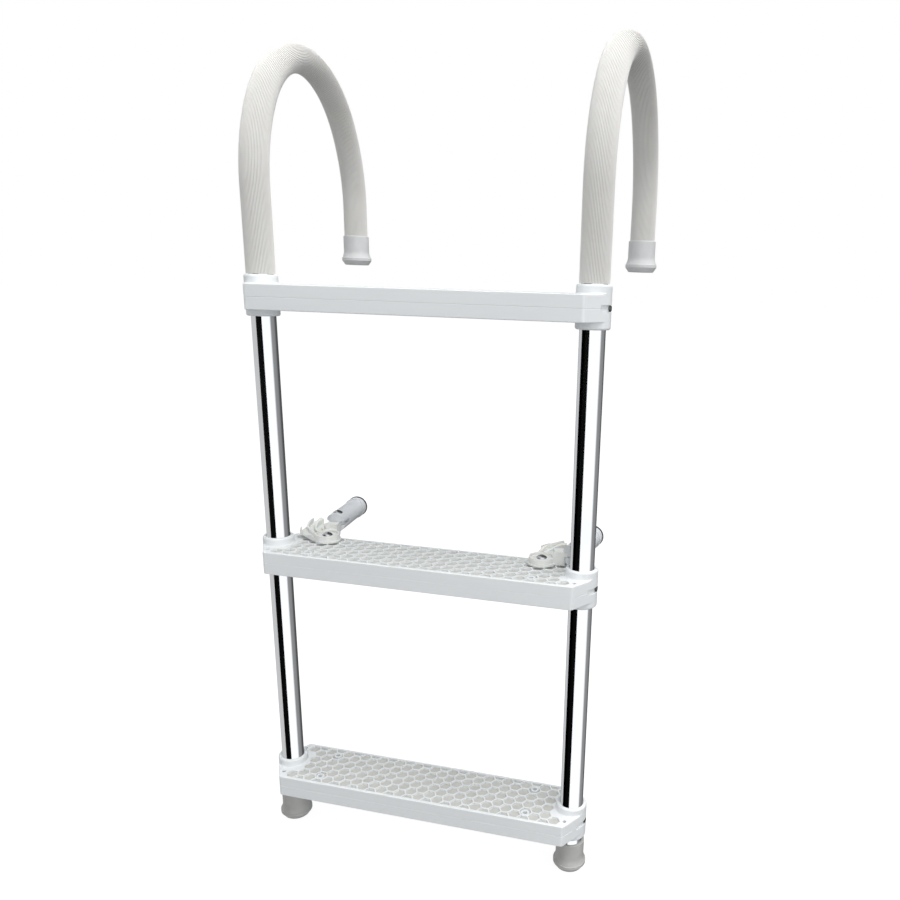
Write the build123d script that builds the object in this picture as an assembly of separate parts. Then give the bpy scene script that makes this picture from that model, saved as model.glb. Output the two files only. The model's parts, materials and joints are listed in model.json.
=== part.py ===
from build123d import *
import math
import os

# Boat boarding ladder that hangs over the gunwale on two padded hooks.
# Frame: +Z up, +X to the user's right when facing the boat, +Y towards the boat.
# The origin is midway between the two places where the padded hooks bear on the gunwale.

# ---- driving dimensions, millimetres ----
TUBE_R = 12.5
TUBE_WALL = 1.5
RAIL_X = 171.8
HOOK_SPAN = 240.6
HOOK_RISE = 139.0
HOOK_SIDE_R = 160.0
HOOK_SPLAY = 2.96
SLEEVE_R = 14.4
SLEEVE_GAP = 0.05

# heights above the underside of the feet
TREAD_HEIGHTS = {"bottom": 73.9, "middle": 350.6, "top": 627.3}
ARCH_START = 719.7
HOOK_CAP_BOTTOM = 652.4
SLEEVE_START = 636.5

CAP_HEIGHT = 35.0
CAP_FLOOR = 5.0
CAP_LIP = 0.5
CAP_R = 15.85
CAP_FLARE_TOP = 17.0
CAP_FLARE_R = 17.7
CAP_BEAD_R = 18.4
CAP_BEAD_TOP = 9.0
CAP_BEAD_BOTTOM = 5.2
CAP_TOE_R = 15.2
CAP_SOLE_R = 14.0

STEP_HEIGHT = 25.0
STEP_HALF_LENGTH = 169.5
STEP_HALF_DEPTH = 36.0
STEP_CORNER_R = 4.0
STEP_EDGE_R = 0.9
PARTING_BEVEL = 0.35
STEP_WALL = 2.6
TREAD_PLATE = 4.2
BASE_PLATE = 2.6
COLLAR_R = 16.8
COLLAR_BORE_R = 12.55
COLLAR_MOUTH_R = 13.5
COLLAR_MOUTH_DEPTH = 1.3
COLLAR_RISE = 8.7
COLLAR_DROP = 7.0
COLLAR_SKIRT = 1.4
COLLAR_ROUNDING = 2.2
WINDOW_HEIGHT = 6.3
WINDOW_WIDTH = 33.0
WINDOW_INSET = 8.5
WINDOW_FLOOR_R = 14.6
RIB_THICKNESS = 1.8
CROSS_RIBS = (-105, -63, -21, 21, 63, 105)

CELL_PITCH = 13.45
COLUMN_PITCH = 11.28
CELL_FLAT = 11.7
CELL_DEPTH = 2.2
CELL_RIM_Y = 33.0
CELL_COLUMNS = 14
CELL_COLLAR_GAP = 24.5

BOSS_X = 124.1
BOSS_Y = 22.0
BOSS_R = 4.6
BOSS_DEPTH = 9.0
BOSS_HOLE_R = 2.6
CORNER_HOLE_X = 169.3
CORNER_HOLE_Y = 25.5
CORNER_HOLE_R = 2.0
CORNER_HEAD_R = 3.6
CORNER_HEAD_DEPTH = 3.0

# swivel bracket and stand-off arm, local frame: pivot on the tread, +Y towards the arm pin
PIVOT_TO_PIN = 35.0
ARM_AXIS_HEIGHT = 12.6
ARM_R = 11.2
ARM_WALL = 2.2
ARM_LENGTH = 61.4
ARM_NOSE_R = 12.0
ARM_SLOT_GAP = 0.15
ARM_CLEARANCE = 0.6
ARM_BARREL_START = 20.0
ARM_TRAVEL = 74.0
ARM_CAP_R = 11.6
ARM_RING_R = 12.3
ARM_RING_WIDTH = 2.6
ARM_CAP_GRIP = 7.0
ARM_CAP_FLOOR = 2.8
ARM_CAP_PLUG = 18.0
ARM_PAD_THICKNESS = 3.0
BRACKET_LIFT = 0.6
BOSS_RIM_R = 13.6
BOSS_RIM_TOP = 8.4
BOSS_DISH_R = 11.4
BOSS_SEAT = 6.4
BOSS_FOOT_R = 15.0
BOSS_FOOT_TOP = 2.4
FAN_R = 34.6
FAN_FRONT_BEARING = 152.6
FAN_CENTRE = (-6.0, 17.0)
FAN_BLADE_RADII = (5.5, 13.0, 21.0, 29.3)
FAN_BLADE = 2.2
FAN_FLOOR_START = 4.8
FAN_FLOOR_END = 15.0
FAN_FLOOR_RISE = 2.5
FAN_TOP_START = 8.0
FAN_TOP_END = 22.5
FAN_LIFT_END = 6.5
FAN_PLANE_HEIGHT = 16.7
FAN_PLANE_SLOPES = (0.22, 0.281)
TONGUE_THICKNESS = 5.0
TONGUE_R = 8.0
TONGUE_HALF_WIDTH = 6.5
WEB_START = 7.0
WEB_CREST = 19.0
WEB_END = 26.0
SWIVEL_BORE_R = 2.58
SCREW_R = 2.5
SCREW_HEAD_R = 5.6
SCREW_HEAD_HEIGHT = 2.9
PIN_SEAT = 22.4
NUT_R = 4.6
NUT_HEIGHT = 4.0

# bearing of the bracket and of the arm at rest, degrees from +X, counter-clockwise from above
SIDES = {
    "left": {"sign": -1, "bracket": 98.0, "arm": 96.7},
    "right": {"sign": 1, "bracket": 14.0, "arm": 83.4},
}

# ---- derived places ----
SEAT_HEIGHT = ARCH_START + HOOK_RISE - SLEEVE_R
RAIL_Y = -HOOK_SPAN / 2
TREAD_Z = {name: height - SEAT_HEIGHT for name, height in TREAD_HEIGHTS.items()}
HALF = STEP_HEIGHT / 2


def rail_place(side):
    """Foot of a rail: the underside of its foot cap, turned so that local +Y is the hook plane."""
    sign = SIDES[side]["sign"]
    return Pos(sign * RAIL_X, RAIL_Y, -SEAT_HEIGHT) * Rot(0, 0, -sign * HOOK_SPLAY)


# ---- rails and hooks ----
def hook_path(start, end):
    """Centre line up the rail, over the pointed arch and down to the hook's end."""
    half = HOOK_SPAN / 2
    rise = HOOK_RISE
    side_r = HOOK_SIDE_R
    crown_r = (half**2 + rise**2 - 2 * half * side_r) / (2 * (rise - side_r))
    offset = side_r - half
    lift = rise - crown_r
    turn = math.degrees(math.atan2(lift, offset))
    up = Line((start, 0), (ARCH_START, 0))
    near_arc = arc_about(half + offset, 0, side_r, 180, 180 - turn)
    crown = arc_about(half, lift, crown_r, 180 - turn, turn)
    far_arc = arc_about(half - offset, 0, side_r, turn, 0)
    down = Line((ARCH_START, HOOK_SPAN), (end, HOOK_SPAN))
    flat = Plane((0, 0, 0), x_dir=(0, 0, 1), z_dir=(-1, 0, 0))
    return flat * Wire([up, near_arc, crown, far_arc, down])


def arc_about(across, above, radius, first, last):
    """Arc about a centre given across the hook and above the arch's start, as (height, across)."""
    points = []
    for angle in (first, (first + last) / 2, last):
        bearing = math.radians(angle)
        height = ARCH_START + above + radius * math.sin(bearing)
        points.append((height, across + radius * math.cos(bearing)))
    return ThreePointArc(*points)


def face_from(*curves):
    """Flat face inside a closed loop of curves."""
    return make_face(Wire([edge for curve in curves for edge in curve.edges()]))


def pipe_along(path, outer, inner):
    section = Plane(path @ 0, z_dir=path % 0) * (Circle(outer) - Circle(inner))
    return sweep(section, path=path)


def rail_tube(side):
    tube = pipe_along(hook_path(CAP_FLOOR, HOOK_CAP_BOTTOM + CAP_FLOOR), TUBE_R, TUBE_R - TUBE_WALL)
    tube = rail_place(side) * tube
    for tread in TREAD_Z.values():
        tube -= rail_screw_place(side, tread) * Pos(0, 0, TUBE_R) * Cylinder(1.6, 6)
    return tube


def hook_sleeve(side):
    path = hook_path(SLEEVE_START, HOOK_CAP_BOTTOM + CAP_FLOOR)
    return rail_place(side) * pipe_along(path, SLEEVE_R, TUBE_R + SLEEVE_GAP)


def rubber_cap(bore):
    """Cap that flares to a bead near its sole and opens upwards."""
    lip = CAP_HEIGHT - CAP_LIP
    rim = Polyline((bore, lip), (bore + CAP_LIP, CAP_HEIGHT), (CAP_R - CAP_LIP, CAP_HEIGHT), (CAP_R, lip))
    body = Line((CAP_R, lip), (CAP_R, CAP_FLARE_TOP))
    flare_end = (CAP_FLARE_R, CAP_BEAD_TOP)
    flare = Spline((CAP_R, CAP_FLARE_TOP), flare_end, tangents=((0, -1), (0.35, -1)))
    bead = Polyline(
        flare_end,
        (CAP_BEAD_R, CAP_BEAD_TOP - 0.5),
        (CAP_BEAD_R, CAP_BEAD_BOTTOM),
        (CAP_TOE_R, 0.8),
    )
    toe = ThreePointArc((CAP_TOE_R, 0.8), (CAP_SOLE_R + 0.75, 0.22), (CAP_SOLE_R, 0))
    inside = Polyline((CAP_SOLE_R, 0), (0, 0), (0, CAP_FLOOR), (bore, CAP_FLOOR), (bore, lip))
    profile = face_from(rim, body, flare, bead, toe, inside)
    return revolve(Plane.XZ * profile, axis=Axis.Z)


def foot_cap(side):
    return rail_place(side) * rubber_cap(TUBE_R + SLEEVE_GAP)


def hook_end_cap(side):
    return rail_place(side) * Pos(0, HOOK_SPAN, HOOK_CAP_BOTTOM) * rubber_cap(SLEEVE_R + SLEEVE_GAP)


# ---- steps, local frame: middle of the tread's top face ----
def step_outline():
    """Flat plan: a long rectangle whose ends narrow to touch the collars."""
    run = math.hypot(RAIL_X - STEP_HALF_LENGTH, STEP_HALF_DEPTH)
    to_collar = math.atan2(STEP_HALF_DEPTH, RAIL_X - STEP_HALF_LENGTH)
    bearing = to_collar - math.asin(COLLAR_R / run)
    reach = math.sqrt(run**2 - COLLAR_R**2)
    tip_x = STEP_HALF_LENGTH + reach * math.cos(bearing)
    tip_y = -STEP_HALF_DEPTH + reach * math.sin(bearing)
    corner = (STEP_HALF_LENGTH, -STEP_HALF_DEPTH)
    quarter = [corner, (tip_x, tip_y)]
    right = quarter + [(x, -y) for x, y in reversed(quarter)]
    left = [(-x, y) for x, y in reversed(right)]
    face = make_face(Polyline(*right, *left, close=True))
    corners = [v for v in face.vertices() if abs(abs(v.Y) - STEP_HALF_DEPTH) < 0.01]
    return fillet(corners, STEP_CORNER_R)


def both_ends(shape):
    return [shape, mirror(shape, about=Plane.YZ)]


def four_corners(x, y, shape):
    return [Pos(i * x, j * y, 0) * shape for i in (-1, 1) for j in (-1, 1)]


def honeycomb():
    """Open cells of the tread, as prisms of the cell depth under the top face."""
    cells = []
    for column in range(-CELL_COLUMNS, CELL_COLUMNS + 1):
        x = column * COLUMN_PITCH
        shift = CELL_PITCH / 2 if column % 2 else 0
        for row in range(-3, 4):
            y = row * CELL_PITCH + shift
            clear_of_collar = math.hypot(abs(x) - RAIL_X, y) > CELL_COLLAR_GAP
            if abs(y) < CELL_RIM_Y + 2 and clear_of_collar:
                cells.append(Pos(x, y) * RegularPolygon(CELL_FLAT / math.sqrt(3), 6))
    field = Sketch() + cells
    field &= Rectangle(2 * RAIL_X, 2 * CELL_RIM_Y)
    return extrude(field, -CELL_DEPTH)


def step_cuts():
    """Everything that both shells of a step leave open: rail bores, windows and screw holes."""
    length = STEP_HEIGHT + COLLAR_RISE + COLLAR_DROP + 2
    bore = Pos(RAIL_X, 0, (COLLAR_RISE - STEP_HEIGHT - COLLAR_DROP) / 2) * Cylinder(COLLAR_BORE_R, length)
    mouth = Pos(RAIL_X, 0, COLLAR_RISE) * Cylinder(COLLAR_MOUTH_R, 2 * COLLAR_MOUTH_DEPTH)
    window = Pos(RAIL_X + WINDOW_INSET + 10, 0, -HALF) * Box(20, WINDOW_WIDTH, WINDOW_HEIGHT)
    window -= Pos(RAIL_X, 0, -HALF) * Cylinder(WINDOW_FLOOR_R, WINDOW_HEIGHT)
    shank = Pos(RAIL_X + WINDOW_FLOOR_R, 0, -HALF) * Rot(0, 90, 0) * Cylinder(1.6, 12)
    cuts = both_ends(bore) + both_ends(mouth) + both_ends(window) + both_ends(shank)
    cuts += four_corners(CORNER_HOLE_X, CORNER_HOLE_Y, Pos(0, 0, -HALF) * Cylinder(CORNER_HOLE_R, 40))
    head_pocket = Pos(0, 0, -STEP_HEIGHT) * Cylinder(CORNER_HEAD_R, 2 * CORNER_HEAD_DEPTH)
    cuts += four_corners(CORNER_HOLE_X, CORNER_HOLE_Y, head_pocket)
    return cuts


def collar(bottom, top):
    return Pos(RAIL_X, 0, (bottom + top) / 2) * Cylinder(COLLAR_R, top - bottom)


def inner_room():
    """Plan of the hollow between the outer walls and between the two collars."""
    return Rectangle(2 * (RAIL_X - COLLAR_R - STEP_WALL), 2 * (STEP_HALF_DEPTH - STEP_WALL))


def stiffening_ribs(bottom, top):
    """Cross ribs and one long rib inside a shell."""
    height = top - bottom
    middle = (bottom + top) / 2
    cross_length = 2 * (STEP_HALF_DEPTH - STEP_WALL / 2)
    ribs = [Pos(x, 0, middle) * Box(RIB_THICKNESS, cross_length, height) for x in CROSS_RIBS]
    ribs.append(Pos(0, 0, middle) * Box(2 * (RAIL_X - COLLAR_R), RIB_THICKNESS, height))
    return ribs


def step_tread():
    """Upper shell with the honeycomb tread."""
    slab = extrude(step_outline(), -HALF)
    slab = fillet(slab.faces().sort_by(Axis.Z)[-1].outer_wire().edges(), STEP_EDGE_R)
    slab = chamfer(slab.faces().sort_by(Axis.Z)[0].outer_wire().edges(), PARTING_BEVEL)
    skirt_middle = (COLLAR_R + COLLAR_SKIRT * 0.3, COLLAR_SKIRT * 0.3)
    skirt_line = ThreePointArc((COLLAR_R + COLLAR_SKIRT, 0), skirt_middle, (COLLAR_R, COLLAR_SKIRT))
    skirt_back = Polyline((COLLAR_R, COLLAR_SKIRT), (COLLAR_R - 1, 0), (COLLAR_R + COLLAR_SKIRT, 0))
    skirt = revolve(Plane.XZ * face_from(skirt_line, skirt_back), axis=Axis.Z)
    skirt = Pos(RAIL_X, 0, 0) * skirt & extrude(step_outline(), COLLAR_RISE)
    ring = collar(-HALF, COLLAR_RISE)
    ring = fillet(ring.edges().sort_by(Axis.Z)[-1], COLLAR_ROUNDING)
    hollow = Pos(0, 0, -HALF) * extrude(inner_room(), HALF - TREAD_PLATE)
    shell = slab + both_ends(ring) + both_ends(skirt) - hollow
    shell += stiffening_ribs(-HALF, -TREAD_PLATE)
    shell += four_corners(BOSS_X, BOSS_Y, Pos(0, 0, -BOSS_DEPTH / 2) * Cylinder(BOSS_R + 1.2, BOSS_DEPTH))
    shell -= honeycomb()
    shell += four_corners(BOSS_X, BOSS_Y, Pos(0, 0, -BOSS_DEPTH / 2) * Cylinder(BOSS_R, BOSS_DEPTH))
    shell -= four_corners(BOSS_X, BOSS_Y, Pos(0, 0, -BOSS_DEPTH / 2) * Cylinder(BOSS_HOLE_R, 2 * BOSS_DEPTH))
    return shell - step_cuts()


def step_base():
    """Lower shell that closes the step from below."""
    slab = Pos(0, 0, -STEP_HEIGHT) * extrude(step_outline(), HALF)
    slab = fillet(slab.faces().sort_by(Axis.Z)[0].outer_wire().edges(), STEP_EDGE_R)
    slab = chamfer(slab.faces().sort_by(Axis.Z)[-1].outer_wire().edges(), PARTING_BEVEL)
    ring = collar(-STEP_HEIGHT - COLLAR_DROP, -HALF)
    ring = fillet(ring.edges().sort_by(Axis.Z)[0], COLLAR_ROUNDING)
    hollow = Pos(0, 0, -STEP_HEIGHT + BASE_PLATE) * extrude(inner_room(), HALF)
    shell = slab + both_ends(ring) - hollow
    shell += stiffening_ribs(-STEP_HEIGHT + BASE_PLATE, -HALF)
    return shell - step_cuts()


def rail_screw_place(side, tread):
    """Axis of the screw that fixes a step to a rail, pointing outwards."""
    sign = SIDES[side]["sign"]
    return Pos(sign * RAIL_X, RAIL_Y, tread - HALF) * Rot(0, sign * 90, 0)


def rail_screw():
    """Pan-head screw along +Z whose head rests on the window's floor."""
    head = Pos(0, 0, WINDOW_FLOOR_R + 1.15) * Cylinder(2.9, 2.3)
    head = fillet(head.edges().sort_by(Axis.Z)[-1], 0.9)
    head -= Pos(0, 0, WINDOW_FLOOR_R + 2.3) * extrude(RegularPolygon(1.4, 6), -1.4)
    shank = Pos(0, 0, (WINDOW_FLOOR_R + 9.6) / 2) * Cylinder(1.55, WINDOW_FLOOR_R - 9.6)
    return head + shank


def rail_screws(tread):
    return Compound([rail_screw_place(side, tread) * rail_screw() for side in SIDES])


def shell_screws(tread):
    """Four countersunk screws that draw the lower shell up against the upper one."""
    head = Pos(0, 0, -STEP_HEIGHT + CORNER_HEAD_DEPTH - 1.0) * Cylinder(CORNER_HEAD_R - 0.2, 2.0)
    head = fillet(head.edges().sort_by(Axis.Z)[0], 0.7)
    head -= Pos(0, 0, -STEP_HEIGHT + CORNER_HEAD_DEPTH - 2.0) * extrude(RegularPolygon(1.4, 6), 1.2)
    shank_top = -2.5
    shank_bottom = -STEP_HEIGHT + CORNER_HEAD_DEPTH
    middle = (shank_top + shank_bottom) / 2
    shank = Pos(0, 0, middle) * Cylinder(CORNER_HOLE_R - 0.05, shank_top - shank_bottom)
    screws = four_corners(CORNER_HOLE_X, CORNER_HOLE_Y, head + shank)
    return Compound([Pos(0, RAIL_Y, tread) * screw for screw in screws])


# ---- stand-offs, local frame: swivel axis on the tread, +Y towards the arm pin ----
def pivot_place(side):
    spec = SIDES[side]
    return Pos(spec["sign"] * BOSS_X, RAIL_Y + BOSS_Y, TREAD_Z["middle"])


def bracket_place(side):
    return pivot_place(side) * Rot(0, 0, SIDES[side]["bracket"] - 90)


def arm_place(side):
    """Arm pin on the tread's level, with local +Y along the arm."""
    turn = SIDES[side]["arm"] - SIDES[side]["bracket"]
    return bracket_place(side) * Pos(0, PIVOT_TO_PIN, 0) * Rot(0, 0, turn)


def pin_position(side):
    return arm_place(side).position


def bowl(start, end, underside_end):
    """Solid of revolution about the swivel axis whose top rises outwards in a hollow curve."""
    middle = start + (end - start) * 0.3
    across = (BOSS_DISH_R + FAN_R) / 2
    top = ThreePointArc((BOSS_DISH_R, start), (across, middle), (FAN_R, end))
    under = Polyline(
        (FAN_R, end),
        (FAN_R, underside_end),
        (BOSS_FOOT_R, BRACKET_LIFT),
        (0, BRACKET_LIFT),
        (0, start),
    )
    closing = Line((0, start), (BOSS_DISH_R, start))
    return revolve(Plane.XZ * face_from(top, under, closing), axis=Axis.Z)


def fan_plan():
    """Plan of the fan: tangent to the boss in front, round at its rim, open towards the arm."""
    bearing = math.radians(FAN_FRONT_BEARING)
    along = (math.cos(bearing), math.sin(bearing))
    tangent = (-BOSS_RIM_R * along[1], BOSS_RIM_R * along[0])
    front_tip = (tangent[0] + 2 * FAN_R * along[0], tangent[1] + 2 * FAN_R * along[1])
    outline = Polyline((0, 0), tangent, front_tip, (-2 * FAN_R, 2 * FAN_R), (0, 2 * FAN_R), close=True)
    return make_face(outline) & Circle(FAN_R)


def under_tilted_plane(drop):
    """Half space under the fan's sloping top, lowered by a distance."""
    slope_x, slope_y = FAN_PLANE_SLOPES
    plane = Plane((0, 0, FAN_PLANE_HEIGHT - drop), z_dir=(-slope_x, -slope_y, 1))
    return plane * Pos(0, 0, -40) * Box(200, 200, 80)


def fan():
    """Scoop with curved blades, struck about one centre, that rise away from the swivel boss."""
    plan = extrude(fan_plan(), FAN_TOP_END)
    rings = Sketch()
    for radius in FAN_BLADE_RADII:
        rings += Pos(*FAN_CENTRE) * (Circle(radius + FAN_BLADE / 2) - Circle(radius - FAN_BLADE / 2))
    blades = bowl(FAN_TOP_START, FAN_TOP_END, FAN_LIFT_END) & under_tilted_plane(0)
    blades &= extrude(rings, FAN_TOP_END)
    floor_drop = FAN_TOP_END - FAN_FLOOR_END - FAN_FLOOR_RISE
    floor = bowl(FAN_FLOOR_START, FAN_FLOOR_END, FAN_LIFT_END) & under_tilted_plane(floor_drop)
    return (blades + floor) & plan


def arm_sweep():
    """Space that the arm's near end needs over its whole travel about the pin."""
    turn = cylinder_between(ARM_NOSE_R + ARM_CLEARANCE, -1, 40)
    limit = Pos(0, 40, 20) * Box(2 * (ARM_R + ARM_CLEARANCE), 80, 42)
    return Pos(0, PIVOT_TO_PIN, 0) * (turn + Rot(0, 0, ARM_TRAVEL + 2) * limit)


def tongue():
    """Flat tongue, round about the arm pin, that enters the arm's slot."""
    plan = Pos(0, PIVOT_TO_PIN) * Circle(TONGUE_R)
    plan += Pos(0, PIVOT_TO_PIN / 2) * Rectangle(2 * TONGUE_HALF_WIDTH, PIVOT_TO_PIN)
    shape = Pos(0, 0, ARM_AXIS_HEIGHT - TONGUE_THICKNESS / 2) * extrude(plan, TONGUE_THICKNESS)
    return shape - cylinder_between(BOSS_RIM_R, 0, 40)


def tongue_web():
    """Wedge that carries the tongue up from the foot of the boss."""
    top = ARM_AXIS_HEIGHT + TONGUE_THICKNESS / 2
    front = Polyline(
        (WEB_START, BRACKET_LIFT),
        (WEB_START, BOSS_RIM_TOP - 1),
        (WEB_START + 4, BOSS_RIM_TOP),
        (WEB_CREST, top),
    )
    back = Polyline((WEB_CREST, top), (WEB_END, top), (WEB_END, BRACKET_LIFT), (WEB_START, BRACKET_LIFT))
    return extrude(Plane.YZ * face_from(front, back), TONGUE_HALF_WIDTH, both=True)


def swivel_bracket():
    boss = cylinder_between(BOSS_RIM_R, BRACKET_LIFT, BOSS_RIM_TOP)
    foot = cylinder_between(BOSS_FOOT_R, BRACKET_LIFT, BOSS_FOOT_TOP)
    body = boss + foot + tongue_web() + fan() - arm_sweep() + tongue()
    body -= Pos(0, 0, BOSS_SEAT) * cylinder_between(BOSS_DISH_R, 0, 40)
    body -= cylinder_between(SWIVEL_BORE_R, 0, 40)
    body -= Pos(0, PIVOT_TO_PIN, 0) * cylinder_between(SWIVEL_BORE_R, 0, 40)
    return body


def cylinder_between(radius, bottom, top):
    return Pos(0, 0, (bottom + top) / 2) * Cylinder(radius, top - bottom)


def along_arm(radius, start, end):
    """Cylinder on the arm's axis between two distances from the pin."""
    return Pos(0, (start + end) / 2, ARM_AXIS_HEIGHT) * Rot(90, 0, 0) * Cylinder(radius, end - start)


def arm_nose():
    """Outline of the arm that is round about the pin, so that the near end can turn."""
    disc = cylinder_between(ARM_NOSE_R, -10, 40)
    return disc + Pos(0, 60, 15) * Box(40, 120, 50)


def standoff_arm():
    """Moulded arm: a slotted near end that takes the tongue, then a hollow barrel."""
    arm = along_arm(ARM_R, -ARM_NOSE_R, ARM_LENGTH) & arm_nose()
    arm -= along_arm(ARM_R - ARM_WALL, ARM_BARREL_START, ARM_LENGTH + 1)
    slot_end = TONGUE_R + 0.5
    slot_length = slot_end + 2 * ARM_NOSE_R
    slot_box = Box(4 * ARM_R, slot_length, TONGUE_THICKNESS + 2 * ARM_SLOT_GAP)
    arm -= Pos(0, slot_end - slot_length / 2, ARM_AXIS_HEIGHT) * slot_box
    arm -= cylinder_between(SCREW_R + 0.05, -10, 40)
    arm -= cylinder_between(SCREW_HEAD_R + 0.5, PIN_SEAT, 40)
    return arm - nut_pocket()


def nut_pocket():
    return cylinder_between(NUT_R + 0.1, -5, ARM_AXIS_HEIGHT - ARM_R + NUT_HEIGHT + 0.4)


def arm_end_cap():
    """Tip pushed into and over the arm's far end, with a raised ring at its mouth."""
    mouth = ARM_LENGTH - ARM_CAP_GRIP
    end = ARM_LENGTH + ARM_CAP_FLOOR
    sleeve = along_arm(ARM_CAP_R, mouth, end)
    ring = along_arm(ARM_RING_R, mouth, mouth + ARM_RING_WIDTH)
    ring = fillet(ring.edges().filter_by(GeomType.CIRCLE), 0.6)
    cap = sleeve + ring - along_arm(ARM_R + 0.03, mouth - 1, ARM_LENGTH)
    return cap + along_arm(ARM_R - ARM_WALL - 0.05, ARM_LENGTH - ARM_CAP_PLUG, end)


def arm_end_pad():
    start = ARM_LENGTH + ARM_CAP_FLOOR
    pad = along_arm(ARM_RING_R, start, start + ARM_PAD_THICKNESS)
    return fillet(pad.edges().filter_by(GeomType.CIRCLE), 0.9)


def dome_screw(head_bottom, shank_bottom):
    """Dome-head machine screw with a hexagon socket."""
    rim = (SCREW_HEAD_R, 0.5)
    crown = ThreePointArc((0, SCREW_HEAD_HEIGHT), (SCREW_HEAD_R * 0.62, SCREW_HEAD_HEIGHT * 0.78), rim)
    seat = Polyline(rim, (SCREW_HEAD_R, 0), (0, 0), (0, SCREW_HEAD_HEIGHT))
    dome = Pos(0, 0, head_bottom) * revolve(Plane.XZ * face_from(crown, seat), axis=Axis.Z)
    dome -= Pos(0, 0, head_bottom + SCREW_HEAD_HEIGHT - 1.6) * extrude(RegularPolygon(1.75, 6), 3)
    return dome + cylinder_between(SCREW_R, shank_bottom, head_bottom)


def hex_nut(bottom):
    nut = Pos(0, 0, bottom) * extrude(RegularPolygon(NUT_R, 6), NUT_HEIGHT)
    return nut - cylinder_between(SCREW_R + 0.02, bottom - 1, bottom + NUT_HEIGHT + 1)


def swivel_washer():
    return cylinder_between(7.5, 0, BRACKET_LIFT - 0.1) - cylinder_between(BOSS_HOLE_R, -1, 2)


# ---- write every piece ----
def main():
    parts = {}
    for side in SIDES:
        parts[f"{side}_rail_tube"] = rail_tube(side)
        parts[f"{side}_hook_sleeve"] = hook_sleeve(side)
        parts[f"{side}_hook_end_cap"] = hook_end_cap(side)
        parts[f"{side}_foot_cap"] = foot_cap(side)
    tread_shell = step_tread()
    base_shell = step_base()
    for name, tread in TREAD_Z.items():
        place = Pos(0, RAIL_Y, tread)
        parts[f"{name}_step_tread"] = place * tread_shell
        parts[f"{name}_step_base"] = place * base_shell
        parts[f"{name}_step_rail_screws"] = rail_screws(tread)
        parts[f"{name}_step_shell_screws"] = shell_screws(tread)
    for side in SIDES:
        pivot = pivot_place(side)
        arm = arm_place(side)
        parts[f"{side}_swivel_bracket"] = bracket_place(side) * swivel_bracket()
        parts[f"{side}_swivel_washer"] = pivot * swivel_washer()
        parts[f"{side}_swivel_screw"] = pivot * dome_screw(BOSS_SEAT + 0.1, -BOSS_DEPTH - NUT_HEIGHT - 0.8)
        parts[f"{side}_swivel_nut"] = pivot * hex_nut(-BOSS_DEPTH - NUT_HEIGHT)
        parts[f"{side}_standoff_arm"] = arm * standoff_arm()
        parts[f"{side}_arm_end_cap"] = arm * arm_end_cap()
        parts[f"{side}_arm_end_pad"] = arm * arm_end_pad()
        parts[f"{side}_arm_pin_screw"] = arm * dome_screw(PIN_SEAT, ARM_AXIS_HEIGHT - ARM_R + 0.2)
        parts[f"{side}_arm_pin_nut"] = arm * hex_nut(ARM_AXIS_HEIGHT - ARM_R + 0.3)

    os.makedirs("parts", exist_ok=True)
    for name, shape in parts.items():
        export_step(shape, f"parts/{name}.step")
    for side in SIDES:
        pin = pin_position(side)
        print(f"{side} pivot {pivot_place(side).position} pin {pin}")
    print(f"{len(parts)} nodes, seat height {SEAT_HEIGHT:.1f}")


main()
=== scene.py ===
import json
import math

import bpy
from mathutils import Matrix, Vector


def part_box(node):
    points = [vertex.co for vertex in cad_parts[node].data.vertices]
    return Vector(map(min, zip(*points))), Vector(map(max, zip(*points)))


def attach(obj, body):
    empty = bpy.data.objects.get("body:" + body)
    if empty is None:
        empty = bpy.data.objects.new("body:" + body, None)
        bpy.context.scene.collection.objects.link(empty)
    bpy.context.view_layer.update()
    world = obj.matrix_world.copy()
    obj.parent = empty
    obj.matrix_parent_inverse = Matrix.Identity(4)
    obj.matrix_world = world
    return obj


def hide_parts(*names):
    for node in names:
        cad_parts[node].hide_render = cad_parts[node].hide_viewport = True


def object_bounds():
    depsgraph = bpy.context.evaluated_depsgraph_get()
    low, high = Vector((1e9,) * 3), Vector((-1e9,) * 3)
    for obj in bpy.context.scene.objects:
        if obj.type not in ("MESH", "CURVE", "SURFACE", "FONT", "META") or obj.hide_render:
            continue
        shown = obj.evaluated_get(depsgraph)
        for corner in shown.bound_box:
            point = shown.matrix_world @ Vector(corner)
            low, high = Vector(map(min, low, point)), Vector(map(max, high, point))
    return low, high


# A boat boarding ladder: polished tube rails, ribbed vinyl hooks, honeycomb plastic steps, stand-off arms.
# Everything is in metres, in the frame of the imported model: +Z up, +Y towards the boat.

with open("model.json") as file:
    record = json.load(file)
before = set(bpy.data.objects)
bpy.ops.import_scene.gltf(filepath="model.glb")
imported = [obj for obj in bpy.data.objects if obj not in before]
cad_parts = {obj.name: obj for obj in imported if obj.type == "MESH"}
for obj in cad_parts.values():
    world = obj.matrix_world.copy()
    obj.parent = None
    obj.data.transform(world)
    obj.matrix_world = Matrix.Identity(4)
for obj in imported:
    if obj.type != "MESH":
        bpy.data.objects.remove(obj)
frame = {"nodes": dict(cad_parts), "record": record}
cad_low, cad_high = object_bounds()
NODES = frame["nodes"]

MM = 0.001

# ---- camera: place in metres, turns in radians ----
CAMERA_PLACE = (0.3043, -0.8671, -0.2118)
CAMERA_YAW = 0.2249
CAMERA_PITCH = -0.2804
CAMERA_ROLL = -0.0307
CAMERA_LENS = 31.57
CAMERA_SENSOR = 36
CAMERA_SHIFT = (-0.1077, 0.0713)
CAMERA_CLIP = (0.01, 200)

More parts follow.
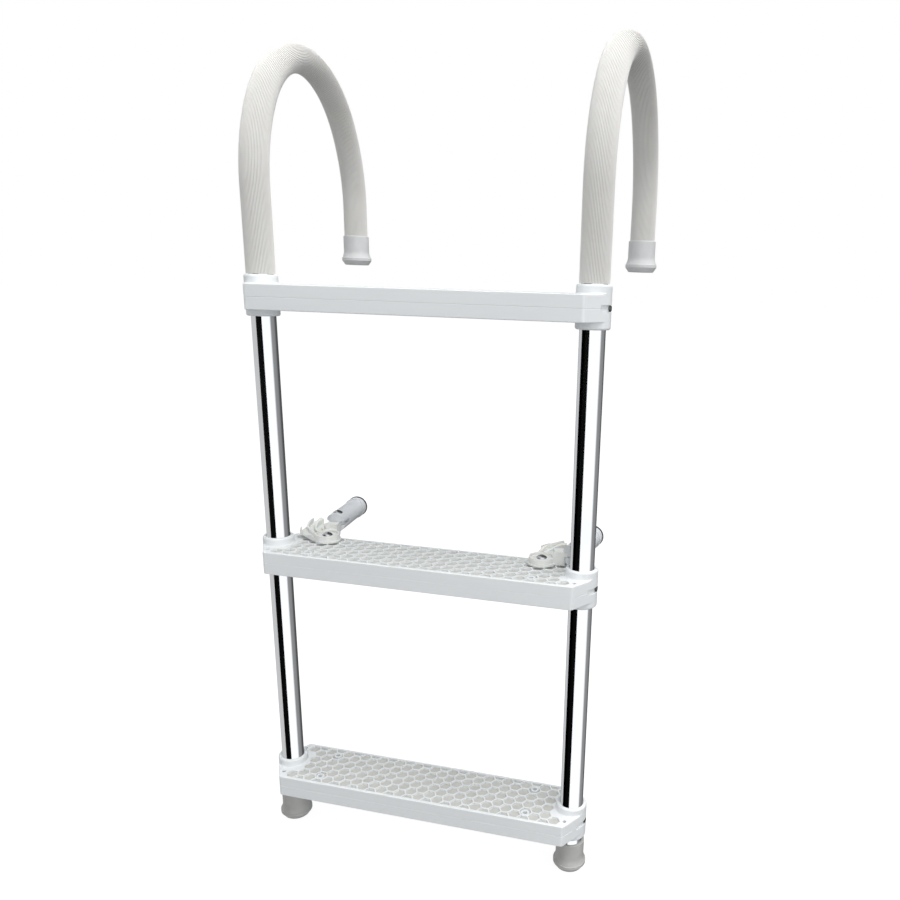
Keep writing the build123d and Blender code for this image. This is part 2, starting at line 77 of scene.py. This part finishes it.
# ---- hook line, the same as the rails' own ----
RAIL_X = 171.8 * MM
HOOK_SPAN = 240.6 * MM
HOOK_RISE = 139.0 * MM
HOOK_SIDE_R = 160.0 * MM
HOOK_SPLAY = math.radians(2.96)
HOOK_SAMPLE_STEP = 4 * MM

# ---- sleeves: the twist is the turn of the ribs over the whole length, in radians ----
SLEEVE_R = 14.4 * MM
SLEEVE_INNER_R = 12.55 * MM
SLEEVE_IN_CAP = 5 * MM
RIB_COUNT = 64
RIB_DEPTH = 0.55 * MM
RIB_SAMPLES = 6
RIB_CREST_POWER = 0.7
SLEEVE_EDGE_ANGLE = math.radians(50)
SLEEVE_TWIST = {"left": 0.2, "right": 0.9}
ARCH_START_Z = SLEEVE_R - HOOK_RISE

# ---- steps, and the height below which a cap is on a foot ----
STEP_NAMES = ("bottom", "middle", "top")
CELL_DEPTH = 2.2 * MM
CELL_FLOOR_BAND = 0.6 * MM
CELL_FLOOR_LEVELNESS = 0.7
COLLAR_RISE = 8.7 * MM
FEET_BELOW = -0.75

# ---- studio ----
FLOOR_GAP = 0.2 * MM
FLOOR_SIZE = 60
FLOOR_GLOW = 0.91
CARD_START = (-0.014, -0.865, 0)
CARD_END = (-0.86, -0.79, 0)
PANEL_END = (-0.90, -0.07, 0)
PANEL_LEVEL = 0.58
CARD_LOW = -3.0
CARD_HIGH = 0.8
AMBIENT_ABOVE = 0.56
AMBIENT_BELOW = 0.28
AMBIENT_RISE = (-1.0, 0.3)
AMBIENT_TINT = (0.97, 0.985, 1.0, 1)
WALL_TINT = (0.985, 1.0, 1.02)
LIGHT_TARGET = (0, 0, -0.45)
# Each light's name, place, disk size in metres and power in watts.
LIGHTS = (
    ("key_from_above", (0.8, -0.5, 2.4), 2.2, 84),
    ("fill_from_front", (0.7, -2.6, -0.2), 2.0, 12),
    ("fill_from_right", (2.2, -1.2, 0.3), 2.0, 6),
    ("fill_from_left", (-2.2, -1.2, 0.2), 2.0, 3),
)
# Brightness of the studio by compass bearing, degrees from +X counter-clockwise, as a mirror sees it.
STUDIO_BEARINGS = (
    (-180, 0.58),
    (-131, 0.58),
    (-126, 1.10),
    (-7, 1.10),
    (7, 0.30),
    (44, 0.24),
    (54, 0.09),
    (114, 0.07),
    (126, 0.50),
    (150, 0.58),
    (180, 0.58),
)


# ---- node helpers ----
class Graph:
    """A material's node tree with short calls for what the materials below share."""

    def __init__(self, name):
        self.material = bpy.data.materials.new(name)
        self.material.use_nodes = True
        self.nodes = self.material.node_tree.nodes
        self.links = self.material.node_tree.links
        self.nodes.clear()
        self.output = self.nodes.new("ShaderNodeOutputMaterial")
        self.shader = self.nodes.new("ShaderNodeBsdfPrincipled")
        self.links.new(self.shader.outputs["BSDF"], self.output.inputs["Surface"])
        self.place = self.nodes.new("ShaderNodeTexCoord").outputs["Object"]

    def put(self, socket, value):
        """Sets a shader input to a number or colour, or links it to a node's output."""
        if isinstance(value, bpy.types.NodeSocket):
            self.links.new(value, self.shader.inputs[socket])
        elif isinstance(value, tuple) and len(value) == 3 and self.shader.inputs[socket].type == "RGBA":
            self.shader.inputs[socket].default_value = (*value, 1)
        else:
            self.shader.inputs[socket].default_value = value

    def stretched(self, scale):
        """Object position with each axis scaled."""
        mapping = self.nodes.new("ShaderNodeMapping")
        mapping.inputs["Scale"].default_value = scale
        self.links.new(self.place, mapping.inputs["Vector"])
        return mapping.outputs["Vector"]

    def noise(self, scale, detail=4.0, roughness=0.55, stretch=None):
        """Noise fixed to the object, stretched along its axes when asked."""
        node = self.nodes.new("ShaderNodeTexNoise")
        node.inputs["Scale"].default_value = scale
        node.inputs["Detail"].default_value = detail
        node.inputs["Roughness"].default_value = roughness
        vector = self.stretched(stretch) if stretch else self.place
        self.links.new(vector, node.inputs["Vector"])
        return node.outputs["Fac"]

    def ramp(self, value, stops):
        """Colour or grey ramp: stops are (position, colour) pairs."""
        node = self.nodes.new("ShaderNodeValToRGB")
        elements = node.color_ramp.elements
        while len(elements) < len(stops):
            elements.new(0.5)
        for element, (position, colour) in zip(elements, stops):
            element.position = position
            element.color = (*colour, 1) if isinstance(colour, tuple) else (colour, colour, colour, 1)
        self.links.new(value, node.inputs["Fac"])
        return node.outputs["Color"]

    def mix(self, factor, first, second, blend="MIX"):
        """Colour mix: each input is a number, a colour or another node's output."""
        node = self.nodes.new("ShaderNodeMix")
        node.data_type = "RGBA"
        node.blend_type = blend
        inputs = [socket for socket in node.inputs if socket.enabled]
        for target, value in zip(inputs, (factor, first, second)):
            if isinstance(value, bpy.types.NodeSocket):
                self.links.new(value, target)
            elif isinstance(value, tuple):
                target.default_value = (*value, 1)
            else:
                target.default_value = value
        return [socket for socket in node.outputs if socket.enabled][0]

    def attribute(self, name):
        """A value stored on the mesh."""
        node = self.nodes.new("ShaderNodeAttribute")
        node.attribute_name = name
        return node.outputs["Fac"]

    def upward(self):
        """Upward part of a face's normal: one for a level top, zero for an upright face."""
        node = self.nodes.new("ShaderNodeSeparateXYZ")
        geometry = self.nodes.new("ShaderNodeNewGeometry")
        self.links.new(geometry.outputs["True Normal"], node.inputs["Vector"])
        return node.outputs["Z"]

    def math(self, operation, first, second=0.0):
        """Number node: each input is a number or another node's output."""
        node = self.nodes.new("ShaderNodeMath")
        node.operation = operation
        for index, value in enumerate((first, second)):
            if isinstance(value, bpy.types.NodeSocket):
                self.links.new(value, node.inputs[index])
            else:
                node.inputs[index].default_value = value
        return node.outputs["Value"]

    def along(self, axis):
        """Position on one axis of the ladder's frame."""
        node = self.nodes.new("ShaderNodeSeparateXYZ")
        self.links.new(self.place, node.inputs["Vector"])
        return node.outputs[axis]

    def bump(self, value, distance, strength=1.0, under=None):
        """Normal raised by a value, over another bump when one is given."""
        node = self.nodes.new("ShaderNodeBump")
        node.inputs["Distance"].default_value = distance
        node.inputs["Strength"].default_value = strength
        self.links.new(value, node.inputs["Height"])
        if under is not None:
            self.links.new(under, node.inputs["Normal"])
        return node.outputs["Normal"]


# ---- materials ----
def polished_tube_material():
    """Mirror-polished stainless tube with faint lengthwise polishing marks."""
    g = Graph("polished_tube_metal")
    streaks = g.noise(900, 3, 0.6, stretch=(1, 1, 0.012))
    smears = g.noise(14, 4, 0.6)
    marks = g.math("ADD", g.math("MULTIPLY", streaks, 0.035), g.math("MULTIPLY", smears, 0.05))
    rough = g.math("ADD", marks, 0.05)
    g.put("Base Color", g.ramp(smears, [(0.3, (0.90, 0.91, 0.93)), (0.7, (0.95, 0.955, 0.965))]))
    g.put("Metallic", 1.0)
    g.put("Roughness", rough)
    g.put("Normal", g.bump(streaks, 0.00001, 0.25))
    return g.material


def vinyl_material():
    """Soft white vinyl, a little warm, with fine grain and painted shade darkening the valleys between its
    ribs.
    """
    g = Graph("ribbed_vinyl")
    grain = g.noise(1800, 3)
    patches = g.noise(22, 4, 0.6)
    streaks = g.noise(260, 3, 0.5, stretch=(1, 1, 0.06))
    tone = g.math("ADD", g.math("MULTIPLY", patches, 0.6), g.math("MULTIPLY", streaks, 0.4))
    vinyl = g.ramp(tone, [(0.25, (0.725, 0.715, 0.690)), (0.75, (0.805, 0.798, 0.776))])
    # Painted shade: the colour is darkened in the valleys between the ribs.
    valley = g.ramp(g.attribute("crest"), [(0.15, (0.430, 0.420, 0.395)), (0.75, (1.0, 1.0, 1.0))])
    g.put("Base Color", g.mix(1.0, vinyl, valley, "MULTIPLY"))
    g.put("Roughness", g.ramp(patches, [(0.3, 0.42), (0.7, 0.54)]))
    g.put("Subsurface Weight", 0.08)
    g.put("Subsurface Radius", (0.004, 0.003, 0.002))
    g.put("Subsurface Scale", 0.4)
    g.put("Specular IOR Level", 0.42)
    g.put("Normal", g.bump(grain, 0.00004, 0.35))
    return g.material


def rubber_cap_material():
    """Pale rubber; the caps down on the feet are darker than those on the hooks, with painted shade."""
    g = Graph("cap_rubber")
    mottling = g.noise(60, 5, 0.65)
    grain = g.noise(1400, 3)
    cap_tone = g.ramp(mottling, [(0.3, (0.620, 0.628, 0.628)), (0.7, (0.695, 0.702, 0.702))])
    # Painted shade: the caps on the feet, low down, get a darker copy of the rubber colour.
    feet_painted_shade = g.ramp(mottling, [(0.3, (0.440, 0.440, 0.420)), (0.7, (0.510, 0.510, 0.492))])
    on_feet = g.math("LESS_THAN", g.along("Z"), FEET_BELOW)
    g.put("Base Color", g.mix(on_feet, cap_tone, feet_painted_shade))
    g.put("Roughness", g.ramp(mottling, [(0.3, 0.40), (0.7, 0.52)]))
    g.put("Subsurface Weight", 0.05)
    g.put("Subsurface Radius", (0.003, 0.003, 0.003))
    g.put("Subsurface Scale", 0.4)
    g.put("Normal", g.bump(grain, 0.00004, 0.3))
    return g.material


def step_material():
    """Cool white moulded plastic, with the cell floors of the treads darker and a little warmer."""
    g = Graph("step_plastic_white")
    flow = g.noise(11, 5, 0.6, stretch=(0.5, 1.6, 1.6))
    grain = g.noise(1100, 4, 0.6)
    speckle = g.noise(95, 5, 0.7)
    body = g.ramp(flow, [(0.3, (0.800, 0.825, 0.835)), (0.7, (0.845, 0.865, 0.872))])
    floor = g.ramp(speckle, [(0.3, (0.560, 0.556, 0.525)), (0.7, (0.655, 0.650, 0.618))])
    g.put("Base Color", g.mix(cell_floor_mask(g), body, floor))
    g.put("Roughness", g.ramp(speckle, [(0.3, 0.33), (0.7, 0.44)]))
    g.put("Subsurface Weight", 0.04)
    g.put("Subsurface Radius", (0.004, 0.004, 0.004))
    g.put("Subsurface Scale", 0.4)
    g.put("Normal", g.bump(grain, 0.00004, 0.22, under=g.bump(flow, 0.0003, 0.12)))
    return g.material


def cell_floor_mask(g):
    """One on the floors of the tread's cells, zero on the rest of the step."""
    height = g.along("Z")
    mask = None
    for name in STEP_NAMES:
        floor = tread_height(name) - CELL_DEPTH
        distance = g.math("ABSOLUTE", g.math("SUBTRACT", height, floor))
        near = g.math("LESS_THAN", distance, CELL_FLOOR_BAND)
        mask = near if mask is None else g.math("ADD", mask, near)
    return g.math("MULTIPLY", mask, g.math("GREATER_THAN", g.upward(), CELL_FLOOR_LEVELNESS))


def bracket_material():
    """Slightly translucent off-white nylon."""
    g = Graph("bracket_nylon_white")
    cloud = g.noise(45, 4, 0.6)
    grain = g.noise(900, 3)
    g.put("Base Color", g.ramp(cloud, [(0.3, (0.770, 0.780, 0.750)), (0.7, (0.835, 0.845, 0.820))]))
    g.put("Roughness", g.ramp(cloud, [(0.3, 0.34), (0.7, 0.46)]))
    g.put("Subsurface Weight", 0.25)
    g.put("Subsurface Radius", (0.006, 0.005, 0.003))
    g.put("Subsurface Scale", 0.5)
    g.put("Normal", g.bump(grain, 0.00003, 0.25))
    return g.material


def arm_material():
    """Moulded pale grey plastic with faint flow marks."""
    g = Graph("arm_plastic_grey")
    flow = g.noise(40, 4, 0.6, stretch=(2.5, 0.25, 2.5))
    grain = g.noise(1200, 3)
    g.put("Base Color", g.ramp(flow, [(0.3, (0.640, 0.665, 0.690)), (0.7, (0.710, 0.730, 0.750))]))
    g.put("Roughness", g.ramp(flow, [(0.3, 0.30), (0.7, 0.40)]))
    g.put("Normal", g.bump(grain, 0.00003, 0.2, under=g.bump(flow, 0.0002, 0.1)))
    return g.material


def dark_rubber_material():
    """Nearly black rubber with a faint grey bloom."""
    g = Graph("pad_rubber_dark")
    grain = g.noise(1500, 4, 0.65)
    bloom = g.noise(70, 4, 0.6)
    g.put("Base Color", g.ramp(bloom, [(0.3, (0.018, 0.019, 0.021)), (0.7, (0.040, 0.042, 0.045))]))
    g.put("Roughness", g.ramp(bloom, [(0.3, 0.50), (0.7, 0.66)]))
    g.put("Normal", g.bump(grain, 0.00006, 0.5))
    return g.material


def fastener_material():
    """Turned stainless; the rail screws out in the steps' end windows are darkened and dull."""
    g = Graph("fastener_stainless")
    turning = g.noise(1600, 3, 0.6, stretch=(1, 1, 6))
    stain = g.noise(120, 4, 0.6)
    bright = g.ramp(stain, [(0.3, (0.66, 0.66, 0.67)), (0.7, (0.76, 0.76, 0.77))])
    dull = g.ramp(stain, [(0.3, (0.06, 0.06, 0.06)), (0.7, (0.16, 0.16, 0.16))])
    in_window = g.math("GREATER_THAN", g.math("ABSOLUTE", g.along("X")), RAIL_X)
    g.put("Base Color", g.mix(in_window, bright, dull))
    g.put("Metallic", 1.0)
    g.put("Roughness", g.ramp(stain, [(0.3, 0.14), (0.7, 0.24)]))
    g.put("Normal", g.bump(turning, 0.00002, 0.3))
    return g.material


def tread_height(name):
    """Top face of a tread: its highest point is the collar, which stands above it."""
    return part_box(f"{name}_step_tread")[1].z - COLLAR_RISE


def assign_materials():
    """Gives every CAD node the material of its slot in the record."""
    makers = {
        "polished_tube": polished_tube_material(),
        "vinyl_sleeve": vinyl_material(),
        "rubber_cap": rubber_cap_material(),
        "step_plastic": step_material(),
        "bracket_nylon": bracket_material(),
        "washer_nylon": bracket_material(),
        "arm_plastic": arm_material(),
        "dark_rubber": dark_rubber_material(),
        "stainless_fastener": fastener_material(),
    }
    for entry in frame["record"]["subparts"]:
        node = NODES[entry["node"]]
        node.data.materials.clear()
        node.data.materials.append(makers[entry["material_slot"]])
        node.visible_glossy = False
    return makers


# ---- ribbed hook sleeves ----
def hook_line(lowest, end):
    """Centre line of a sleeve in the hook's own plane: (across, height, tangent angle) samples."""
    half = HOOK_SPAN / 2
    crown_r = (half**2 + HOOK_RISE**2 - 2 * half * HOOK_SIDE_R) / (2 * (HOOK_RISE - HOOK_SIDE_R))
    offset = HOOK_SIDE_R - half
    lift = HOOK_RISE - crown_r
    turn = math.atan2(lift, offset)
    samples = []

    def straight(first, last, across, heading):
        count = max(2, round(abs(last - first) / HOOK_SAMPLE_STEP))
        for i in range(count):
            samples.append((across, first + (last - first) * i / count, heading))

    def arc(across, above, radius, first, last):
        count = max(2, round(radius * abs(first - last) / HOOK_SAMPLE_STEP))
        for i in range(count):
            bearing = first + (last - first) * i / count
            point_across = across + radius * math.cos(bearing)
            point_height = ARCH_START_Z + above + radius * math.sin(bearing)
            samples.append((point_across, point_height, bearing - math.pi / 2))

    straight(lowest, ARCH_START_Z, 0, math.pi / 2)
    arc(half + offset, 0, HOOK_SIDE_R, math.pi, math.pi - turn)
    arc(half, lift, crown_r, math.pi - turn, turn)
    arc(half - offset, 0, HOOK_SIDE_R, turn, 0)
    straight(ARCH_START_Z, end, HOOK_SPAN, -math.pi / 2)
    samples.append((HOOK_SPAN, end, -math.pi / 2))
    return samples


def rib_profile(angle):
    """Zero in the narrow valley between two ribs, one on a rib's crest."""
    return abs(math.sin(angle * RIB_COUNT / 2)) ** RIB_CREST_POWER


def sleeve_ring(sample, twist, radii, place):
    """One ring of points around the sleeve's centre line, each at its own radius."""
    across, height, heading = sample
    centre = Vector((0, across, height))
    outward = Vector((0, -math.sin(heading), math.cos(heading)))
    sideways = Vector((1, 0, 0))
    ring = []
    for k, radius in enumerate(radii):
        turned = 2 * math.pi * k / len(radii) + twist
        reach = math.cos(turned) * outward + math.sin(turned) * sideways
        ring.append(place @ (centre + radius * reach))
    return ring


def sleeve_mesh(name, outer_rings, inner_rings):
    """Closed skin: out along the ribbed outside, back along the plain bore."""
    rings = outer_rings + inner_rings[::-1]
    around = len(rings[0])
    vertices = [point for ring in rings for point in ring]
    faces = []
    for r in range(len(rings)):
        first = r * around
        second = (r + 1) % len(rings) * around
        for k in range(around):
            n = (k + 1) % around
            faces.append((first + k, first + n, second + n, second + k))
    mesh = bpy.data.meshes.new(name)
    mesh.from_pydata(vertices, [], faces)
    mesh.validate()
    mesh.update()
    mesh.shade_smooth()
    mesh.set_sharp_from_angle(angle=SLEEVE_EDGE_ANGLE)
    return mesh


def build_sleeve(side, sign, material):
    """Ribbed vinyl sleeve over one hook, with its valleys marked for the material's painted shade."""
    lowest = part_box(f"{side}_hook_sleeve")[0].z
    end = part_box(f"{side}_hook_end_cap")[0].z + SLEEVE_IN_CAP
    samples = hook_line(lowest, end)
    around = RIB_COUNT * RIB_SAMPLES
    crests = [rib_profile(2 * math.pi * k / around) for k in range(around)]
    outer_radii = [SLEEVE_R - RIB_DEPTH * (1 - crest) for crest in crests]
    inner_radii = [SLEEVE_INNER_R] * around
    rail = Matrix.Translation((sign * RAIL_X, -HOOK_SPAN / 2, 0))
    place = rail @ Matrix.Rotation(-sign * HOOK_SPLAY, 4, "Z")
    outer_rings = []
    inner_rings = []
    for index, sample in enumerate(samples):
        twist = sign * SLEEVE_TWIST[side] * index / len(samples)
        outer_rings.append(sleeve_ring(sample, twist, outer_radii, place))
        inner_rings.append(sleeve_ring(sample, twist, inner_radii, place))
    mesh = sleeve_mesh(f"{side}_ribbed_sleeve", outer_rings, inner_rings)
    crest_values = mesh.attributes.new("crest", "FLOAT", "POINT")
    for index in range(len(samples) * around):
        crest_values.data[index].value = crests[index % around]
    piece = bpy.data.objects.new(f"{side}_ribbed_sleeve", mesh)
    bpy.context.scene.collection.objects.link(piece)
    mesh.materials.append(material)
    piece.visible_glossy = False
    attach(piece, "ladder_frame")
    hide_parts(f"{side}_hook_sleeve")


# ---- stage, light and camera ----
def make_floor():
    """White paper floor that glows a little, so that it runs into the white backdrop."""
    bpy.ops.mesh.primitive_plane_add(size=FLOOR_SIZE, location=(0, 0, cad_low.z - FLOOR_GAP))
    floor = bpy.context.object
    floor.name = "floor"
    g = Graph("floor_paper")
    g.put("Base Color", g.ramp(g.noise(0.8, 3), [(0.3, (0.19, 0.19, 0.19)), (0.7, (0.21, 0.21, 0.21))]))
    g.put("Roughness", 0.95)
    g.put("Specular IOR Level", 0.0)
    g.put("Emission Color", (1.0, 1.0, 1.0))
    g.put("Emission Strength", FLOOR_GLOW)
    floor.data.materials.append(g.material)
    floor.visible_glossy = False
    floor.visible_diffuse = False


def upright_card(name, start, end, material):
    """Upright staging card that only reflections see."""
    rise = (Vector((0, 0, CARD_LOW)), Vector((0, 0, CARD_HIGH)))
    first, last = Vector(start), Vector(end)
    corners = [first + rise[0], last + rise[0], last + rise[1], first + rise[1]]
    mesh = bpy.data.meshes.new(name)
    mesh.from_pydata(corners, [], [(0, 1, 2, 3)])
    mesh.materials.append(material)
    card = bpy.data.objects.new(name, mesh)
    bpy.context.scene.collection.objects.link(card)
    card.visible_camera = False
    card.visible_diffuse = False
    card.visible_shadow = False
    card.visible_transmission = False
    return card


def make_reflection_cards():
    """Dark card beside the camera, and a grey panel whose light reaches the left rail only."""
    dark = Graph("card_black")
    tone = dark.ramp(dark.noise(4, 3), [(0.3, (0.004, 0.004, 0.004)), (0.7, (0.008, 0.008, 0.008))])
    dark.put("Base Color", tone)
    dark.put("Roughness", 1.0)
    dark.put("Specular IOR Level", 0.0)
    upright_card("dark_card", CARD_START, CARD_END, dark.material)
    grey = Graph("panel_grey")
    grey.put("Base Color", (0.0, 0.0, 0.0))
    grey.put("Roughness", 1.0)
    grey.put("Specular IOR Level", 0.0)
    grey.put("Emission Color", (1.0, 1.0, 1.0))
    grey.put("Emission Strength", PANEL_LEVEL)
    panel = upright_card("grey_panel", CARD_END, PANEL_END, grey.material)
    receivers = bpy.data.collections.new("lit_by_panel")
    receivers.objects.link(NODES["left_rail_tube"])
    panel.light_linking.receiver_collection = receivers


def make_lights():
    """Soft disk lights that mirrors and the camera don't see."""
    for name, place, size, power in LIGHTS:
        data = bpy.data.lights.new(name, "AREA")
        data.shape = "DISK"
        data.size = size
        data.energy = power
        lamp = bpy.data.objects.new(name, data)
        lamp.location = place
        lamp.rotation_mode = "QUATERNION"
        aim = Vector(LIGHT_TARGET) - Vector(place)
        lamp.rotation_quaternion = aim.to_track_quat("-Z", "Y")
        lamp.visible_glossy = False
        lamp.visible_camera = False
        bpy.context.scene.collection.objects.link(lamp)


def studio_walls(nodes, links, axes):
    """Light and dark walls that only depend on the compass bearing of the ray."""
    bearing = nodes.new("ShaderNodeMath")
    bearing.operation = "ARCTAN2"
    links.new(axes["Y"], bearing.inputs[0])
    links.new(axes["X"], bearing.inputs[1])
    turn = nodes.new("ShaderNodeMapRange")
    turn.inputs["From Min"].default_value = -math.pi
    turn.inputs["From Max"].default_value = math.pi
    links.new(bearing.outputs["Value"], turn.inputs["Value"])
    ramp = nodes.new("ShaderNodeValToRGB")
    elements = ramp.color_ramp.elements
    while len(elements) < len(STUDIO_BEARINGS):
        elements.new(0.5)
    for element, (degrees, level) in zip(elements, STUDIO_BEARINGS):
        element.position = (degrees + 180) / 360
        element.color = (*[level * tint for tint in WALL_TINT], 1)
    links.new(turn.outputs["Result"], ramp.inputs["Fac"])
    walls = nodes.new("ShaderNodeBackground")
    links.new(ramp.outputs["Color"], walls.inputs["Color"])
    return walls.outputs["Background"]


def studio_ambient(nodes, links, axes):
    """Even soft light that is weaker from below."""
    ambient = nodes.new("ShaderNodeBackground")
    ambient.inputs["Color"].default_value = AMBIENT_TINT
    rise = nodes.new("ShaderNodeMapRange")
    rise.inputs["From Min"].default_value = AMBIENT_RISE[0]
    rise.inputs["From Max"].default_value = AMBIENT_RISE[1]
    rise.inputs["To Min"].default_value = AMBIENT_BELOW
    rise.inputs["To Max"].default_value = AMBIENT_ABOVE
    links.new(axes["Z"], rise.inputs["Value"])
    links.new(rise.outputs["Result"], ambient.inputs["Strength"])
    return ambient.outputs["Background"]


def make_world():
    """White backdrop for the camera, studio walls for reflections and soft light for the rest."""
    world = bpy.data.worlds.new("studio")
    bpy.context.scene.world = world
    world.use_nodes = True
    nodes = world.node_tree.nodes
    links = world.node_tree.links
    nodes.clear()
    direction = nodes.new("ShaderNodeTexCoord")
    split = nodes.new("ShaderNodeSeparateXYZ")
    links.new(direction.outputs["Generated"], split.inputs["Vector"])
    backdrop = nodes.new("ShaderNodeBackground")
    backdrop.inputs["Color"].default_value = (1, 1, 1, 1)
    rays = nodes.new("ShaderNodeLightPath")
    lit = nodes.new("ShaderNodeMixShader")
    links.new(rays.outputs["Is Glossy Ray"], lit.inputs["Fac"])
    links.new(studio_ambient(nodes, links, split.outputs), lit.inputs[1])
    links.new(studio_walls(nodes, links, split.outputs), lit.inputs[2])
    seen = nodes.new("ShaderNodeMixShader")
    links.new(rays.outputs["Is Camera Ray"], seen.inputs["Fac"])
    links.new(lit.outputs["Shader"], seen.inputs[1])
    links.new(backdrop.outputs["Background"], seen.inputs[2])
    output = nodes.new("ShaderNodeOutputWorld")
    links.new(seen.outputs["Shader"], output.inputs["Surface"])


def make_camera():
    """The photo's view: an aim built from turns about the frame's axes, and a shifted lens."""
    data = bpy.data.cameras.new("camera")
    data.sensor_width = CAMERA_SENSOR
    data.lens = CAMERA_LENS
    data.shift_x, data.shift_y = CAMERA_SHIFT
    data.clip_start, data.clip_end = CAMERA_CLIP
    camera = bpy.data.objects.new("camera", data)
    bpy.context.scene.collection.objects.link(camera)
    yaw = Matrix.Rotation(CAMERA_YAW, 3, "Z")
    pitch = Matrix.Rotation(CAMERA_PITCH, 3, "X")
    roll = Matrix.Rotation(CAMERA_ROLL, 3, "Y")
    level = Matrix.Rotation(math.radians(90), 3, "X")
    turned = yaw @ pitch @ roll @ level
    camera.matrix_world = Matrix.Translation(CAMERA_PLACE) @ turned.to_4x4()
    bpy.context.scene.camera = camera


def main():
    materials = assign_materials()
    build_sleeve("left", -1, materials["vinyl_sleeve"])
    build_sleeve("right", 1, materials["vinyl_sleeve"])
    make_floor()
    make_reflection_cards()
    make_world()
    make_lights()
    make_camera()
    bpy.context.scene.view_settings.view_transform = "Standard"


main()
